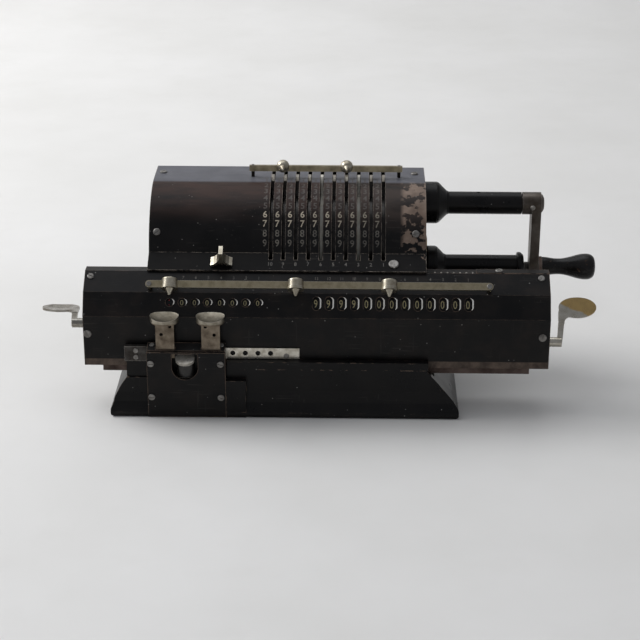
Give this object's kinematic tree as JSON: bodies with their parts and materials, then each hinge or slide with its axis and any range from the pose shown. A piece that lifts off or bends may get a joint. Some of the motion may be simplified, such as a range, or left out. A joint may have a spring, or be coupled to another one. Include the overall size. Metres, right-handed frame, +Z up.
{
  "type": "pinwheel calculator",
  "caption": "Desk-top mechanical calculator with slotted drum cover, setting levers, sliding carriage with figure windows, hand crank, marker rails and shift keys.",
  "frame": {"origin": "on the table under the middle of the base", "axes": "+X to the user's right along the carriage, +Y to the back, +Z up"},
  "size_m": [0.3278, 0.1273, 0.1292],
  "materials": {
    "black_lacquer": "gloss",
    "worn_lacquer": "worn gloss",
    "nickel": "aged nickel",
    "olive_nickel": "dull nickel",
    "steel": "aged steel",
    "brass": "satin",
    "dial_white": "black with pale figures",
    "black_grip": "polished",
    "cast_frame": "cast"
  },
  "bodies": {
    "frame": {"base_casting": "black_lacquer", "base_bottom_plate": "steel", "front_guide_rail": "steel", "rear_guide_rail": "steel", "drum_cover": "worn_lacquer", "rear_cover": "black_lacquer", "left_side_frame": "black_lacquer", "right_side_frame": "worn_lacquer", "drum_bushes": "brass", "transfer_bearers": "cast_frame", "tie_rods": "steel", "crank_sleeve": "worn_lacquer", "crank_rest_post": "worn_lacquer", "top_marker_rail": "olive_nickel", "shift_box": "black_lacquer", "shift_box_front_plate": "nickel", "left_rail_bracket": "steel", "frame_screws": "nickel"},
    "drum": {"pinwheel_drum": "brass", "drum_gear": "brass", "counter_finger": "steel"},
    "crank": {"crank_shaft": "steel", "crank_gear": "brass", "crank_arm": "steel", "handle_pin": "steel", "handle_collar": "brass"},
    "handle": {"crank_handle": "black_grip"},
    "transfer": {"transfer_gears": "brass"},
    "carriage": {"carriage_cover": "worn_lacquer", "carriage_left_end": "steel", "carriage_right_end": "steel", "carriage_bottom_rail": "steel", "dial_shaft": "steel", "front_marker_rail": "olive_nickel", "step_rack": "steel", "carriage_screws": "nickel"},
    "counter_wheels": {"counter_dials": "dial_white"},
    "result_wheels": {"result_dials": "dial_white"},
    "result_clear": {"result_clear_lever": "nickel"},
    "counter_clear": {"counter_clear_lever": "nickel"},
    "key_left": {"shift_key_left": "nickel"},
    "key_right": {"shift_key_right": "nickel"},
    "button": {"release_button": "nickel"},
    "setting_clear": {"setting_clear_lever": "nickel"},
    "lever_01": {"setting_lever_01": "nickel"},
    "lever_02": {"setting_lever_02": "nickel"},
    "lever_03": {"setting_lever_03": "nickel"},
    "lever_04": {"setting_lever_04": "nickel"},
    "lever_05": {"setting_lever_05": "nickel"},
    "lever_06": {"setting_lever_06": "nickel"},
    "lever_07": {"setting_lever_07": "nickel"},
    "lever_08": {"setting_lever_08": "nickel"},
    "lever_09": {"setting_lever_09": "nickel"},
    "lever_10": {"setting_lever_10": "nickel"},
    "front_pointer_1": {"front_marker_1": "nickel"},
    "front_pointer_2": {"front_marker_2": "nickel"},
    "front_pointer_3": {"front_marker_3": "nickel"},
    "top_pointer_1": {"top_marker_1": "nickel"},
    "top_pointer_2": {"top_marker_2": "nickel"}
  },
  "joints": [
    {"name": "carriage_slide", "type": "slide", "parent": "frame", "child": "carriage", "axis": [1, 0, 0], "range_m": [-0.0504, 0]},
    {"name": "drum_turn", "type": "hinge", "parent": "frame", "child": "drum", "pos_m": [0, 0.0165, 0.0783], "axis": [1, 0, 0], "continuous": true},
    {"name": "crank_turn", "type": "hinge", "parent": "frame", "child": "crank", "pos_m": [0, 0.022, 0.1027], "axis": [1, 0, 0], "continuous": true},
    {"name": "handle_spin", "type": "hinge", "parent": "crank", "child": "handle", "pos_m": [0, 0.022, 0.0627], "axis": [1, 0, 0], "continuous": true},
    {"name": "transfer_turn", "type": "hinge", "parent": "frame", "child": "transfer", "pos_m": [0, -0.01535, 0.04483], "axis": [1, 0, 0], "continuous": true},
    {"name": "counter_turn", "type": "hinge", "parent": "carriage", "child": "counter_wheels", "pos_m": [0, -0.03596, 0.05898], "axis": [1, 0, 0], "continuous": true},
    {"name": "result_turn", "type": "hinge", "parent": "carriage", "child": "result_wheels", "pos_m": [0, -0.03596, 0.05898], "axis": [1, 0, 0], "continuous": true},
    {"name": "result_clear_turn", "type": "hinge", "parent": "carriage", "child": "result_clear", "pos_m": [0, -0.038, 0.039], "axis": [1, 0, 0], "continuous": true},
    {"name": "counter_clear_turn", "type": "hinge", "parent": "carriage", "child": "counter_clear", "pos_m": [0, -0.038, 0.0484], "axis": [1, 0, 0], "continuous": true},
    {"name": "setting_clear_swing", "type": "hinge", "parent": "frame", "child": "setting_clear", "pos_m": [-0.0368, -0.03004, 0.08288], "axis": [0, -0.4765, 0.8792], "range_deg": [0, 35]},
    {"name": "button_press", "type": "slide", "parent": "frame", "child": "button", "axis": [0, 0, -1], "range_m": [0, 0.0025], "stiffness_N_per_m": 200, "springref_m": -0.002},
    {"name": "left_key_press", "type": "slide", "parent": "frame", "child": "key_left", "axis": [0, 0, -1], "range_m": [0, 0.004], "stiffness_N_per_m": 200, "springref_m": -0.002},
    {"name": "right_key_press", "type": "slide", "parent": "frame", "child": "key_right", "axis": [0, 0, -1], "range_m": [0, 0.004], "stiffness_N_per_m": 200, "springref_m": -0.002},
    {"name": "setting_lever_01_set", "type": "hinge", "parent": "drum", "child": "lever_01", "pos_m": [0, 0.0165, 0.0783], "axis": [1, 0, 0], "range_deg": [0, 72]},
    {"name": "setting_lever_02_set", "type": "hinge", "parent": "drum", "child": "lever_02", "pos_m": [0, 0.0165, 0.0783], "axis": [1, 0, 0], "range_deg": [0, 72]},
    {"name": "setting_lever_03_set", "type": "hinge", "parent": "drum", "child": "lever_03", "pos_m": [0, 0.0165, 0.0783], "axis": [1, 0, 0], "range_deg": [0, 72]},
    {"name": "setting_lever_04_set", "type": "hinge", "parent": "drum", "child": "lever_04", "pos_m": [0, 0.0165, 0.0783], "axis": [1, 0, 0], "range_deg": [0, 72]},
    {"name": "setting_lever_05_set", "type": "hinge", "parent": "drum", "child": "lever_05", "pos_m": [0, 0.0165, 0.0783], "axis": [1, 0, 0], "range_deg": [0, 72]},
    {"name": "setting_lever_06_set", "type": "hinge", "parent": "drum", "child": "lever_06", "pos_m": [0, 0.0165, 0.0783], "axis": [1, 0, 0], "range_deg": [0, 72]},
    {"name": "setting_lever_07_set", "type": "hinge", "parent": "drum", "child": "lever_07", "pos_m": [0, 0.0165, 0.0783], "axis": [1, 0, 0], "range_deg": [0, 72]},
    {"name": "setting_lever_08_set", "type": "hinge", "parent": "drum", "child": "lever_08", "pos_m": [0, 0.0165, 0.0783], "axis": [1, 0, 0], "range_deg": [0, 72]},
    {"name": "setting_lever_09_set", "type": "hinge", "parent": "drum", "child": "lever_09", "pos_m": [0, 0.0165, 0.0783], "axis": [1, 0, 0], "range_deg": [0, 72]},
    {"name": "setting_lever_10_set", "type": "hinge", "parent": "drum", "child": "lever_10", "pos_m": [0, 0.0165, 0.0783], "axis": [1, 0, 0], "range_deg": [0, 72]},
    {"name": "front_pointer_1_slide", "type": "slide", "parent": "carriage", "child": "front_pointer_1", "axis": [1, 0, 0], "range_m": [-0.005, 0.03]},
    {"name": "front_pointer_2_slide", "type": "slide", "parent": "carriage", "child": "front_pointer_2", "axis": [1, 0, 0], "range_m": [-0.03, 0.02]},
    {"name": "front_pointer_3_slide", "type": "slide", "parent": "carriage", "child": "front_pointer_3", "axis": [1, 0, 0], "range_m": [-0.02, 0.048]},
    {"name": "top_pointer_1_slide", "type": "slide", "parent": "frame", "child": "top_pointer_1", "axis": [1, 0, 0], "range_m": [-0.011, 0.012]},
    {"name": "top_pointer_2_slide", "type": "slide", "parent": "frame", "child": "top_pointer_2", "axis": [1, 0, 0], "range_m": [-0.012, 0.024]}
  ],
  "couplings": [
    {"joint": "crank_turn", "follows": "drum_turn", "ratio": -1}
  ]
}
